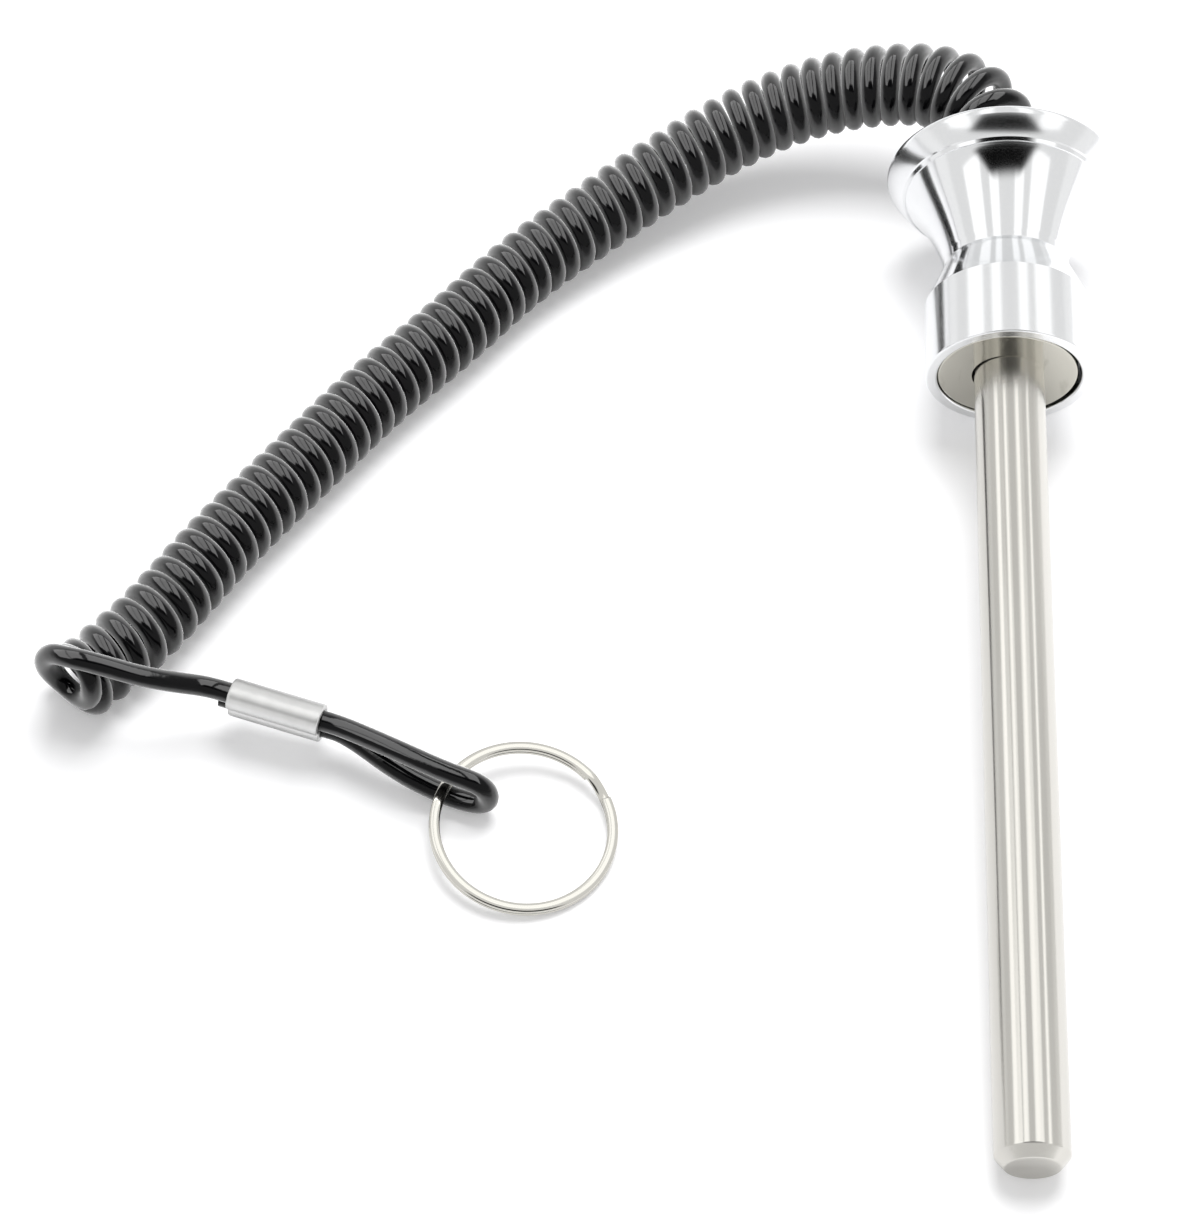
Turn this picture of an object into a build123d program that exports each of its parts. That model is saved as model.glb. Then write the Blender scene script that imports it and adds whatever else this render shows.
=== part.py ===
# Magnetic selector pin for a weight stack, lying on a bench with its coiled lanyard.
# Millimetres. +Y runs along the pin from its tip to its knob, +X is to the right of
# someone who looks from tip to knob, and +Z is up from the bench. The origin is the
# middle, at bench height, of the pin itself (lanyard and split ring not counted).

import os
from math import asin, atan2, cos, degrees, hypot, pi, radians, sin, tan

from build123d import *

# --- selector shaft: a steel rod with a reduced spigot inside the knob ---
shaft_radius = 4.75
shaft_length = 114.0            # exposed, from the collar's face to the tip
tip_chamfer_length = 1.5
tip_chamfer_depth = 1.25
shaft_relief = 0.25             # how much thinner the shaft is where it passes the magnet
spigot_radius = 4.0
spigot_length = 16.0
spigot_chamfer = 0.5

# --- ring magnet, glued in the collar's cup ---
magnet_radius = 9.5
magnet_thickness = 5.0
magnet_edge_round = 0.25
magnet_bore_clearance = 0.12    # round the shaft
cup_clearance = 0.25            # radial, between magnet and cup
magnet_set_back = 0.3           # how far the magnet's face lies behind the collar's
magnet_off_centre = 0.2         # it was glued in against one side of the cup

# --- knob: collar, shoulder, waist, flared neck and rim, turned from one bar ---
collar_wall = 1.55
collar_length = 11.1
collar_edge_round = 0.25
waist_radius = 8.5
shoulder_end = 17.4             # distances along the pin, from the collar's face
waist_end = 18.2
neck_middle_at = 23.0
neck_middle_radius = 9.85
neck_end_at = 29.4
neck_end_radius = 13.6
step_width = 0.15
lip_radius = 14.05              # a short cone runs from the step out to the rim's face
lip_at = 29.85
face_start_radius = 14.25       # the rim's face is a slightly domed bevel
face_start_at = 30.0
face_dome = 0.1                 # how far it stands proud of a straight bevel
rim_bead_radius = 1.3           # round of the rim's outer edge
rim_bead_circle = 14.85         # radius of the circle that the round's centre follows
rim_bead_at = 32.6
bead_front_angle = 58.0         # degrees from straight ahead where face and round meet
bead_back_angle = 150.0
back_dish_depth = 0.6
back_dish_radius = 11.0
cord_hole_clearance = 0.3
cord_hole_chamfer = 0.5
stop_pocket_length = 7.0        # behind the spigot, where the crimped stop sits
stop_pocket_clearance = 0.3

# --- lanyard: a plastic-coated cord, coiled for most of its length ---
cord_diameter = 2.75
coil_diameter = 11.0
lead_length = 2.0               # straight cord between the knob's back and the coil
stop_radius = 3.1
stop_length = 5.0

# --- double-barrel crimp sleeve on the lanyard's tail ---
sleeve_length = 12.4
sleeve_wall = 0.95
sleeve_bore_clearance = 0.03
sleeve_barrel_spacing = 2.9     # between the two barrels' centre lines
sleeve_mouth_round = 0.2
sleeve_lean = 16.0              # degrees, top towards the tip end
sleeve_coil_end = Vector(-101.7, -10.75, 7.0)
sleeve_loop_end = Vector(-90.2, -13.95, 6.2)
dead_end_length = 1.7           # how far the cut end shows past the sleeve

# --- split ring: flat wire wound twice round, its two turns lying together ---
ring_radius = 12.2
ring_wire_width = 1.4
ring_wire_thickness = 0.63
ring_turn_gap = 0.04
ring_wire_round = 0.18
ring_crossover = 20.0           # degrees that the step between the turns takes
ring_crossover_at = -114.0      # degrees from the hinge point, seen from above
ring_rise = 7.9                 # degrees that the loop lifts the ring's near side
ring_rise_heading = 139.0       # plan direction from ring centre to the loop
ring_centre = (-63.4, -26.8)
ring_floor_gap = 0.02
ring_hinge_height = 0.3         # hinge axis above the wire's middle, inside the loop

# --- the pin's own axis: it rests on the shaft's tip and on the rim of the knob ---
tip_line = shaft_length - tip_chamfer_length
axis_reach = tip_line + rim_bead_at
radius_step = rim_bead_circle - shaft_radius
rest_tilt = degrees(atan2(radius_step, axis_reach) + asin(rim_bead_radius / hypot(axis_reach, radius_step)))
tilt_sin = sin(radians(rest_tilt))
tilt_cos = cos(radians(rest_tilt))
collar_face_z = rim_bead_circle * tilt_cos + rim_bead_radius - rim_bead_at * tilt_sin
rim_back_at = 34.8
bead_back_radius = rim_bead_circle + rim_bead_radius * sin(radians(bead_back_angle))
bead_back_at = rim_bead_at - rim_bead_radius * cos(radians(bead_back_angle))
back_edge_radius = bead_back_radius - (rim_back_at - bead_back_at) * tan(radians(bead_back_angle - 90))
rim_back_y = rim_back_at * tilt_cos + back_edge_radius * tilt_sin
tip_end_radius = shaft_radius - tip_chamfer_depth
tip_front_y = -shaft_length * tilt_cos - tip_end_radius * tilt_sin
collar_face_y = -(rim_back_y + tip_front_y) / 2
pin_axis = Vector(0, tilt_cos, tilt_sin)
collar_face = Vector(0, collar_face_y, collar_face_z)
pin_frame = Location((0, collar_face_y, collar_face_z), (rest_tilt - 90, 0, 0))

collar_radius = magnet_radius + cup_clearance + collar_wall
cup_radius = magnet_radius + cup_clearance
cup_depth = magnet_thickness + magnet_set_back
relief_radius = shaft_radius - shaft_relief
magnet_bore_radius = shaft_radius + magnet_bore_clearance
cord_radius = cord_diameter / 2
cord_hole_radius = cord_radius + cord_hole_clearance
stop_pocket_radius = stop_radius + stop_pocket_clearance
spigot_end = cup_depth + spigot_length
pocket_end = spigot_end + stop_pocket_length
back_face_at = rim_back_at - back_dish_depth
stop_front = pocket_end - stop_length


def on_pin(distance):
    """Point on the pin's axis, at a distance behind the collar's face."""
    return collar_face + pin_axis * distance


def turned(profile):
    """Solid of revolution from a half section drawn as (radius, distance) on XZ."""
    face = make_face(profile.edges())
    return pin_frame * revolve(Plane.XZ * face, Axis.Z)


def make_knob():
    """One turned piece; its stepped bore is drilled from the collar's side."""
    bead_front_radius = rim_bead_circle + rim_bead_radius * sin(radians(bead_front_angle))
    bead_front_at = rim_bead_at - rim_bead_radius * cos(radians(bead_front_angle))
    face_turn = atan2(bead_front_radius - face_start_radius, bead_front_at - face_start_at)
    face_middle_radius = (face_start_radius + bead_front_radius) / 2 + face_dome * cos(face_turn)
    face_middle_at = (face_start_at + bead_front_at) / 2 - face_dome * sin(face_turn)
    with BuildLine() as outline:
        Polyline(
            (cord_hole_radius, pocket_end),
            (stop_pocket_radius, pocket_end),
            (stop_pocket_radius, spigot_end),
            (spigot_radius, spigot_end),
            (spigot_radius, cup_depth),
            (cup_radius, cup_depth),
            (cup_radius, collar_edge_round),
            (cup_radius + collar_edge_round, 0),
            (collar_radius - collar_edge_round, 0),
            (collar_radius, collar_edge_round),
            (collar_radius, collar_length),
            (waist_radius, shoulder_end),
            (waist_radius, waist_end),
        )
        ThreePointArc(
            (waist_radius, waist_end),
            (neck_middle_radius, neck_middle_at),
            (neck_end_radius, neck_end_at),
        )
        Polyline(
            (neck_end_radius, neck_end_at),
            (neck_end_radius + step_width, neck_end_at),
            (lip_radius, lip_at),
            (face_start_radius, face_start_at),
        )
        ThreePointArc(
            (face_start_radius, face_start_at),
            (face_middle_radius, face_middle_at),
            (bead_front_radius, bead_front_at),
        )
        ThreePointArc(
            (bead_front_radius, bead_front_at),
            (rim_bead_circle + rim_bead_radius, rim_bead_at),
            (bead_back_radius, bead_back_at),
        )
        Polyline(
            (bead_back_radius, bead_back_at),
            (back_edge_radius, rim_back_at),
            (back_dish_radius, back_face_at),
            (cord_hole_radius + cord_hole_chamfer, back_face_at),
            (cord_hole_radius, back_face_at - cord_hole_chamfer),
            (cord_hole_radius, pocket_end),
        )
    return turned(outline)


def make_magnet():
    """Flat ring that fills the cup, a little off centre."""
    front = magnet_set_back
    edge = magnet_edge_round
    with BuildLine() as outline:
        Polyline(
            (magnet_bore_radius, front),
            (magnet_radius - edge, front),
            (magnet_radius, front + edge),
            (magnet_radius, cup_depth),
            (magnet_bore_radius, cup_depth),
            (magnet_bore_radius, front),
        )
    return Location((-magnet_off_centre, 0, 0)) * turned(outline)


def make_shaft():
    """Rod with a chamfered tip, shouldered against the floor of the cup."""
    with BuildLine() as outline:
        Polyline(
            (0, -shaft_length),
            (tip_end_radius, -shaft_length),
            (shaft_radius, -tip_line),
            (shaft_radius, 0),
            (relief_radius, 0),
            (relief_radius, cup_depth),
            (spigot_radius, cup_depth),
            (spigot_radius, spigot_end - spigot_chamfer),
            (spigot_radius - spigot_chamfer, spigot_end),
            (0, spigot_end),
            (0, -shaft_length),
        )
    return turned(outline)


def make_cord_stop():
    """Crimped sleeve that keeps the cord from pulling out of the knob."""
    with BuildLine() as outline:
        Polyline(
            (cord_radius, stop_front),
            (stop_radius, stop_front),
            (stop_radius, pocket_end),
            (cord_radius, pocket_end),
            (cord_radius, stop_front),
        )
    return turned(outline)


def rounded_path(points, name):
    """Straight runs joined by the largest arcs that their lengths allow."""
    corners = []
    for before, corner, after in zip(points, points[1:], points[2:]):
        first = corner - before
        second = after - corner
        half_turn = radians(first.get_angle(second)) / 2
        corners.append(0.45 * min(first.length, second.length) / tan(half_turn))
    print(name, "bend radii:", " ".join(f"{radius:.1f}" for radius in corners))
    return FilletPolyline(*points, radius=corners)


def tube(points, diameter, name):
    """Round tube along a rounded path, checked against section times length."""
    path = rounded_path(points, name)
    section = Plane(points[0], z_dir=points[1] - points[0]) * Circle(diameter / 2)
    solid = sweep(section, path=path, transition=Transition.ROUND)
    expected = pi * diameter**2 / 4 * path.length
    print(f"{name}: length {path.length:.1f}, volume {solid.volume:.0f} of {expected:.0f}")
    return solid


def make_cord_lead():
    """Straight cord from inside the stop to the coil's end."""
    return tube_straight(on_pin(stop_front), on_pin(back_face_at + lead_length), cord_diameter)


def tube_straight(start, end, diameter):
    """Straight round bar between two points."""
    return extrude(Plane(start, z_dir=end - start) * Circle(diameter / 2), (end - start).length)


coil_start = on_pin(back_face_at + lead_length)
coil_route = [
    coil_start,
    coil_start + pin_axis * 4.0,
    Vector(-2.2, 84.2, 17.3),
    Vector(-7.2, 87.6, 17.3),
    Vector(-14.0, 89.1, 16.4),
    Vector(-24.5, 89.0, 14.1),
    Vector(-35.5, 85.8, 11.3),
    Vector(-46.5, 79.2, 8.6),
    Vector(-57.0, 71.5, 6.5),
    Vector(-67.5, 62.3, 5.6),
    Vector(-76.5, 51.0, 5.55),
    Vector(-86.5, 40.0, 5.55),
    Vector(-95.5, 27.8, 5.55),
    Vector(-105.0, 15.4, 5.55),
    Vector(-113.0, 2.5, 5.55),
    Vector(-118.5, -4.2, 5.55),
    Vector(-123.5, -9.2, 5.55),
]

sleeve_axis = (sleeve_loop_end - sleeve_coil_end).normalized()
sleeve_side = Vector(0, 0, 1).cross(sleeve_axis).normalized()
sleeve_upright = sleeve_axis.cross(sleeve_side)
sleeve_up = sleeve_upright * cos(radians(sleeve_lean)) - sleeve_side * sin(radians(sleeve_lean))
barrel_offset = sleeve_up * (sleeve_barrel_spacing / 2)
barrel_radius = cord_radius + sleeve_bore_clearance + sleeve_wall


def in_barrel(side, past_coil_end):
    """Point on a barrel's centre line: side 1 is the upper barrel, -1 the lower."""
    return sleeve_coil_end + barrel_offset * side + sleeve_axis * past_coil_end


tail_route = [
    Vector(-123.4, -8.0, 2.4),
    Vector(-126.6, -8.2, 5.4),
    Vector(-127.0, -8.2, 10.0),
    Vector(-124.8, -9.4, 14.2),
    Vector(-119.5, -11.0, 15.0),
    Vector(-113.2, -11.4, 12.5),
    in_barrel(1, -3.4),
    in_barrel(1, sleeve_length + 3.2),
    Vector(-79.6, -19.0, 7.8),
    Vector(-73.6, -21.7, 7.35),
    Vector(-69.5, -23.0, 7.0),
    Vector(-68.0, -23.4, 5.3),
    Vector(-68.0, -23.3, 3.0),
    Vector(-69.5, -22.9, 1.5),
    Vector(-73.6, -21.6, 1.4),
    Vector(-79.6, -19.6, 2.5),
    in_barrel(-1, sleeve_length + 3.2),
    in_barrel(-1, -dead_end_length),
]


def make_sleeve():
    """Two barrels side by side in one drawn aluminium piece, bored for the cord."""
    plane = Plane(sleeve_coil_end, x_dir=sleeve_up, z_dir=sleeve_axis)
    spots = [(-sleeve_barrel_spacing / 2, 0), (sleeve_barrel_spacing / 2, 0)]
    outer = Sketch() + [Pos(*spot) * Circle(barrel_radius) for spot in spots]
    bores = Sketch() + [Pos(*spot) * Circle(cord_radius + sleeve_bore_clearance) for spot in spots]
    body = extrude(plane * outer, sleeve_length)
    return body - extrude(plane * bores, sleeve_length)


ring_plane_height = ring_wire_thickness + ring_turn_gap / 2
ring_rise_sin = sin(radians(ring_rise))
ring_rise_cos = cos(radians(ring_rise))
ring_centre_z = ring_floor_gap + ring_radius * ring_rise_sin + ring_plane_height * ring_rise_cos
ring_mean_radius = ring_radius - ring_wire_width / 2
heading_cos = cos(radians(ring_rise_heading))
heading_sin = sin(radians(ring_rise_heading))
ring_uphill = Vector(ring_rise_cos * heading_cos, ring_rise_cos * heading_sin, ring_rise_sin)
ring_normal = Vector(-ring_rise_sin * heading_cos, -ring_rise_sin * heading_sin, ring_rise_cos)
ring_middle = Vector(ring_centre[0], ring_centre[1], ring_centre_z)
ring_plane = Plane(ring_middle, x_dir=ring_uphill, z_dir=ring_normal)
ring_hinge_point = ring_middle + ring_uphill * ring_mean_radius + ring_normal * ring_hinge_height
ring_hinge_axis = ring_normal.cross(ring_uphill)


def make_split_ring():
    """Two flat turns, one above the other, joined by a short sloping crossover."""
    layer = (ring_wire_thickness + ring_turn_gap) / 2
    section = RectangleRounded(ring_wire_width, ring_wire_thickness, ring_wire_round)
    turn_angle = 360 - ring_crossover
    pieces = []
    for level in (-layer, layer):
        face = Plane.XZ * Pos(ring_mean_radius, level) * section
        turn = revolve(face, Axis.Z, revolution_arc=turn_angle)
        pieces.append(Rot(0, 0, ring_crossover_at + ring_crossover) * turn)
    steps = 4
    sections = []
    for step in range(steps + 1):
        share = step / steps
        angle = ring_crossover_at + ring_crossover * share
        level = layer * (2 * share - 1)
        sections.append(Rot(0, 0, angle) * (Plane.XZ * Pos(ring_mean_radius, level) * section))
    pieces.append(loft(sections, ruled=True))
    return ring_plane.location * (pieces[0] + pieces[1] + pieces[2])


nodes = {
    "knob": make_knob(),
    "ring_magnet": make_magnet(),
    "selector_shaft": make_shaft(),
    "cord_stop": make_cord_stop(),
    "cord_lead": make_cord_lead(),
    "cord_coil": tube(coil_route, coil_diameter, "coil"),
    "cord_tail": tube(tail_route, cord_diameter, "tail"),
    "crimp_sleeve": make_sleeve(),
    "split_ring": make_split_ring(),
}

os.makedirs("parts", exist_ok=True)
for name, solid in nodes.items():
    export_step(solid, f"parts/{name}.step")

print("pin axis, rest tilt:", pin_axis, round(rest_tilt, 3))
print("shaft's middle, wall length:", on_pin(-tip_line / 2), tip_line)
print("collar's rim:", collar_face + Vector((cup_radius + collar_radius) / 2, 0, 0))
print("cord's exit:", on_pin(back_face_at))
print("ring's middle and normal:", ring_middle, ring_normal)
print("ring's hinge point and axis:", ring_hinge_point, ring_hinge_axis)
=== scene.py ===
# %% [markdown]
# # A magnetic selector pin with its coiled lanyard
#
# The pin lies on a pale bench. Its CAD model is already packed: every part has its true size and
# place, in metres, with +Y from the pin's tip to its knob, +X to the right and +Z up. This lesson
# dresses that model. It could show the CAD meshes as they are, but polished metal shows every facet,
# and the curly cord is only a plain tube there. So each part gets a finer surface in the same place.

from math import cos, pi, radians, sin, tan

import bpy
import numpy as np
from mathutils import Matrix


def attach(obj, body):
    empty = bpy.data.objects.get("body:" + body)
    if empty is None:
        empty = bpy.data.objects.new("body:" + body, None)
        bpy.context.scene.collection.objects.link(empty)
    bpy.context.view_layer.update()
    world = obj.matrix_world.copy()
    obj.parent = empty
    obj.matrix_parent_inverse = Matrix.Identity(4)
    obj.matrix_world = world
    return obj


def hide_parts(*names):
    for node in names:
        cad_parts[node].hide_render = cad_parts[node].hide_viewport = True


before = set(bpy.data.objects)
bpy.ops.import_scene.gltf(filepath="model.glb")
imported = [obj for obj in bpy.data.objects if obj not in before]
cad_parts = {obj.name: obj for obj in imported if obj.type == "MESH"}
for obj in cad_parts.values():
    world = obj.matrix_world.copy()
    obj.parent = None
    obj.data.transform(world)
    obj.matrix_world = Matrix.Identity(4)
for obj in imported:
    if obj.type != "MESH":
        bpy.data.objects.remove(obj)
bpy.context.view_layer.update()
MM = 0.001
scene = bpy.context.scene
scene.view_settings.view_transform = "Standard"

# %% [markdown]
# ## Camera
#
# The camera looks down on the pin from its tip end, at about 56 degrees above the bench, through a
# long lens. A short lens close by could show the whole pin too, but it would make the tip far wider
# than the knob's end of the shaft. A long lens keeps the shaft's sides nearly parallel. The picture
# is a little taller than it is wide, so the sensor size below belongs to its height.

# %% Camera
CAMERA_AT = np.array([-46.71, -291.17, 440.65]) * MM
LOOKS_AT = np.array([-54.51, 8.69, 0.0]) * MM
LENS_MM = 117.38
SENSOR_MM = 36.0


def looking(place, target):
    """Matrix of an object at `place` whose -Z points at `target` and whose +Y leans to world up. Its
    columns are right, up, back and place, where right is world up crossed with back."""
    back = (place - target) / np.linalg.norm(place - target)
    right = np.cross([0.0, 0.0, 1.0], back)
    right /= np.linalg.norm(right)
    matrix = np.eye(4)
    matrix[:3] = np.column_stack([right, np.cross(back, right), back, place])
    return matrix


camera_data = bpy.data.cameras.new("Camera")
camera_data.lens = LENS_MM
camera_data.sensor_width = SENSOR_MM
camera_data.clip_start = 0.01
camera = bpy.data.objects.new("Camera", camera_data)
scene.collection.objects.link(camera)
camera.matrix_world = looking(CAMERA_AT, LOOKS_AT).T
scene.camera = camera
print("camera stands", round(float(np.linalg.norm(CAMERA_AT - LOOKS_AT)), 3), "m from what it looks at")

# %% [markdown]
# ## The pin's own axis
#
# The pin doesn't lie level: it rests on its tip and on the knob's rim, so its axis climbs 4.5 degrees
# towards the knob. Everything turned, such as knob, magnet and shaft, is described by a distance
# along that axis and a radius about it. A helper turns such a distance into a point over the bench.

# %% Points along the pin's axis
REST_TILT = radians(4.494)
COLLAR_FACE = np.array([0.0, 39.081, 13.5501])
ALONG = np.array([0.0, cos(REST_TILT), sin(REST_TILT)])
ACROSS = np.array([1.0, 0.0, 0.0])
ABOVE = np.cross(ACROSS, ALONG)
BACK_FACE = 34.2


def on_pin(distance):
    """Point on the pin's axis: the collar's face plus the axis times a distance behind it, in mm."""
    return COLLAR_FACE + ALONG * distance


print("knob's back, where the cord comes out:", on_pin(BACK_FACE).round(2), "mm")

# %% [markdown]
# ## The cord's route
#
# The lanyard is one black plastic-coated cord, 2.75 mm thick. Its middle part is a tight coil, about
# 60 turns that lie against each other, and its last part is straight, doubled through a crimped
# sleeve into a loop. The whole cord could be three pieces, but then its joins would show, so it is
# one smooth spline from the knob to the cut end. A NURBS spline is used because it stays smooth
# through any number of control points. Each point's radius is the cord's, so the bevel itself has a
# depth of one. First comes the line that the coil itself follows.

# %% The line that the coil follows
CORD = 2.75
LEAD_INSIDE = 10.9
LEAD_OUTSIDE = 2.0
COIL_RUN_OUT = 4.0
coil_start = on_pin(BACK_FACE + LEAD_OUTSIDE)
coil_route = np.array([
    coil_start,
    coil_start + ALONG * COIL_RUN_OUT,
    (-2.2, 84.2, 17.3),
    (-7.2, 87.6, 17.3),
    (-14.0, 89.1, 16.4),
    (-24.5, 89.0, 14.1),
    (-35.5, 85.8, 11.3),
    (-46.5, 79.2, 8.6),
    (-57.0, 71.5, 6.5),
    (-67.5, 62.3, 5.6),
    (-76.5, 51.0, 5.55),
    (-86.5, 40.0, 5.55),
    (-95.5, 27.8, 5.55),
    (-105.0, 15.4, 5.55),
    (-113.0, 2.5, 5.55),
    (-118.5, -4.2, 5.55),
    (-123.5, -9.2, 5.55),
])


def nurbs(name, points, resolution):
    """Curve object with one open quadratic NURBS spline whose control points are `points`, in mm."""
    data = bpy.data.curves.new(name, "CURVE")
    data.dimensions = "3D"
    data.resolution_u = resolution
    spline = data.splines.new("NURBS")
    spline.points.add(len(points) - 1)
    flat = np.ones((len(points), 4))
    flat[:, :3] = np.asarray(points) * MM
    spline.points.foreach_set("co", flat.ravel())
    spline.points.foreach_set("radius", np.full(len(points), CORD / 2 * MM))
    spline.order_u = 3
    spline.use_endpoint_u = True
    curve = bpy.data.objects.new(name, data)
    scene.collection.objects.link(curve)
    return curve


def points_along(curve):
    """Points that Blender itself computes along a curve without a bevel, in mm."""
    mesh = bpy.data.meshes.new_from_object(curve.evaluated_get(bpy.context.evaluated_depsgraph_get()))
    flat = np.zeros(len(mesh.vertices) * 3)
    mesh.vertices.foreach_get("co", flat)
    bpy.data.meshes.remove(mesh)
    return flat.reshape(-1, 3) / MM


def distance_along(points):
    """Running length of a row of points: the lengths of its steps, added up."""
    return np.concatenate([[0.0], np.cumsum(np.linalg.norm(np.diff(points, axis=0), axis=1))])


guide = nurbs("coil_guide", coil_route, resolution=64)
bpy.context.view_layer.update()
core = points_along(guide)
core_at = distance_along(core)
bpy.data.objects.remove(guide)
print("coil's own line:", round(float(core_at[-1]), 1), "mm long")

# %% [markdown]
# ## The coil's turns
#
# A helix about a bent line needs two directions square to the line at every point. One lies level
# and one points up. The cord goes round them by an angle that grows with the distance, one full
# turn for each pitch. The real coil isn't even: it is open where it bends at the knob and closer on
# the straight, so pitch and radius are given at a few distances and blended in between. The turns
# run left-handed, as they were wound. The coil rests on the bench, so its narrower turns sink by as
# much as they lack. A spline cuts a little inside its control points, so the points stand out by the
# same share.

# %% The coil's turns
PITCH_AT = [0.0, 6.0, 14.0, 30.0, 60.0, 95.0, 120.0, 150.0, 175.8]
PITCH = [4.05, 3.85, 3.0, 2.84, 2.95, 2.70, 2.58, 2.61, 3.29]
RADIUS_SHARE = [0.0, 0.012, 0.04, 0.08, 0.15, 0.3, 0.5, 0.8, 1.0]
RADIUS = [0.0, 3.7, 4.4, 4.58, 4.45, 4.2, 3.85, 3.85, 3.95]
FIRST_ANGLE = 44.3
FIRST_TURN = 0.2
LAST_AT = 173.98
POINTS_A_TURN = 12
COIL_OUTSIDE = 11.0
MOST_SINK = 0.4
FINE_STEPS = 8000

steps = np.linspace(0.0, core_at[-1], FINE_STEPS)
halfway = (steps[1:] + steps[:-1]) / 2
turns_a_step = np.diff(steps) / np.interp(halfway, PITCH_AT, PITCH)
turns_to = np.concatenate([[0.0], np.cumsum(turns_a_step)])
last_turn = float(np.interp(LAST_AT, steps, turns_to))
turn = last_turn - np.arange(0.0, last_turn - FIRST_TURN, 1.0 / POINTS_A_TURN)[::-1]
turn_at = np.interp(turn, turns_to, steps)


def read(values, at):
    """Rows of `values`, known along the coil's line, read at other distances."""
    return np.stack([np.interp(at, core_at, column) for column in values.T], 1)


heading = np.gradient(core, core_at, axis=0)
heading /= np.linalg.norm(heading, axis=1)[:, None]
level = np.cross([0.0, 0.0, 1.0], heading)
level /= np.linalg.norm(level, axis=1)[:, None]
upward = np.cross(heading, level)
angle = np.radians(FIRST_ANGLE) - 2 * pi * turn
reach = np.interp(turn_at / core_at[-1], RADIUS_SHARE, RADIUS)
middle = read(core, turn_at)
middle[:, 2] -= np.clip((COIL_OUTSIDE - CORD) / 2 - reach, 0.0, MOST_SINK)
stand_out = reach / cos(pi / POINTS_A_TURN)
coil_points = middle + stand_out[:, None] * (
    np.cos(angle)[:, None] * read(level, turn_at) + np.sin(angle)[:, None] * read(upward, turn_at))
print("turns:", round(last_turn, 1), "with", len(coil_points), "points")

# %% [markdown]
# ## The sleeve's two barrels
#
# The loop is closed by a double-barrel crimp sleeve that leans a little. The cord runs straight
# through one barrel, goes round the loop and comes back through the other, so both barrels' centre
# lines are needed before the cord's tail.

# %% Where the sleeve's barrels lie
SLEEVE_LENGTH = 12.4
SLEEVE_WALL = 0.95
BARREL_SPACING = 2.9
BORE_CLEARANCE = 0.03
SLEEVE_LEAN = radians(16.0)
sleeve_start = np.array([-101.7, -10.75, 7.0])
sleeve_toward = np.array([-90.2, -13.95, 6.2])
sleeve_along = (sleeve_toward - sleeve_start) / np.linalg.norm(sleeve_toward - sleeve_start)
sleeve_side = np.cross([0.0, 0.0, 1.0], sleeve_along)
sleeve_side /= np.linalg.norm(sleeve_side)
sleeve_upright = np.cross(sleeve_along, sleeve_side)
sleeve_up = sleeve_upright * cos(SLEEVE_LEAN) - sleeve_side * sin(SLEEVE_LEAN)


def in_barrel(side, distance):
    """Point on a barrel's centre line: side 1 is the upper barrel and -1 the lower one, in mm."""
    return sleeve_start + sleeve_up * (side * BARREL_SPACING / 2) + sleeve_along * distance


print("upper barrel from", in_barrel(1, 0).round(1), "to", in_barrel(1, SLEEVE_LENGTH).round(1))

# %% [markdown]
# ## The tail and its loop
#
# The last turn has sprung open and stands up beside the coil. From it the cord rises on the far
# side, passes over and runs down to the sleeve. It goes through, makes a flat loop with a tight fold
# that holds the split ring, and comes back through the lower barrel. Its cut end stands 1.7 mm out.
# No formula gives such a line: its points are listed one by one, a few for each bend. The lead's points lie
# on the pin's axis, inside and just behind the knob.

# %% The whole cord as one spline
JUST_INSIDE = 0.3
CUT_END_OUT = 1.7
open_turn = [
    (-123.8, -6.8, 1.6), (-125.2, -5.6, 2.4), (-126.0, -5.1, 4.0), (-125.6, -5.1, 6.4),
    (-124.4, -5.9, 9.0), (-122.5, -7.7, 11.4), (-120.7, -9.6, 12.3), (-119.8, -11.0, 11.5),
    (-119.7, -11.7, 9.8), (-119.9, -11.7, 7.8), (-120.8, -11.3, 6.2), (-122.0, -10.2, 5.4),
    (-123.4, -9.0, 5.5), (-124.9, -8.3, 6.8), (-125.9, -8.4, 9.2), (-125.9, -8.8, 12.0),
]
over_the_coil = [
    (-124.6, -9.3, 14.2), (-122.4, -10.5, 15.2), (-120.0, -11.0, 15.1), (-117.4, -11.2, 14.2),
    (-113.2, -11.4, 12.4), (-108.9, -11.0, 10.5), in_barrel(1, -3.4), in_barrel(1, JUST_INSIDE),
    in_barrel(1, SLEEVE_LENGTH / 2), in_barrel(1, SLEEVE_LENGTH - JUST_INSIDE),
    in_barrel(1, SLEEVE_LENGTH + 3.0),
]
loop = [
    (-79.6, -19.0, 7.8), (-73.6, -21.7, 7.35), (-69.5, -23.0, 7.0), (-68.0, -23.4, 5.3),
    (-68.0, -23.3, 3.0), (-69.5, -22.9, 1.5), (-73.6, -21.6, 1.4), (-79.6, -19.4, 3.0),
]
back_through = [
    in_barrel(-1, SLEEVE_LENGTH + 3.2), in_barrel(-1, SLEEVE_LENGTH - JUST_INSIDE),
    in_barrel(-1, SLEEVE_LENGTH / 2), in_barrel(-1, JUST_INSIDE), in_barrel(-1, -CUT_END_OUT),
]
tail_points = np.array(open_turn + over_the_coil + loop + back_through)
lead_points = np.array([on_pin(BACK_FACE + behind) for behind in (-LEAD_INSIDE, -5.0, -1.0, 1.0)])
cord_points = np.concatenate([lead_points, coil_points, tail_points])
cord = nurbs("lanyard_cord", cord_points, resolution=6)
bpy.context.view_layer.update()
cord_length = float(distance_along(points_along(cord))[-1])
cord.data.bevel_depth = 1.0
cord.data.bevel_resolution = 5
cord.data.use_fill_caps = True
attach(cord, "pin")
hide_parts("cord_lead", "cord_coil", "cord_tail")
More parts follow.
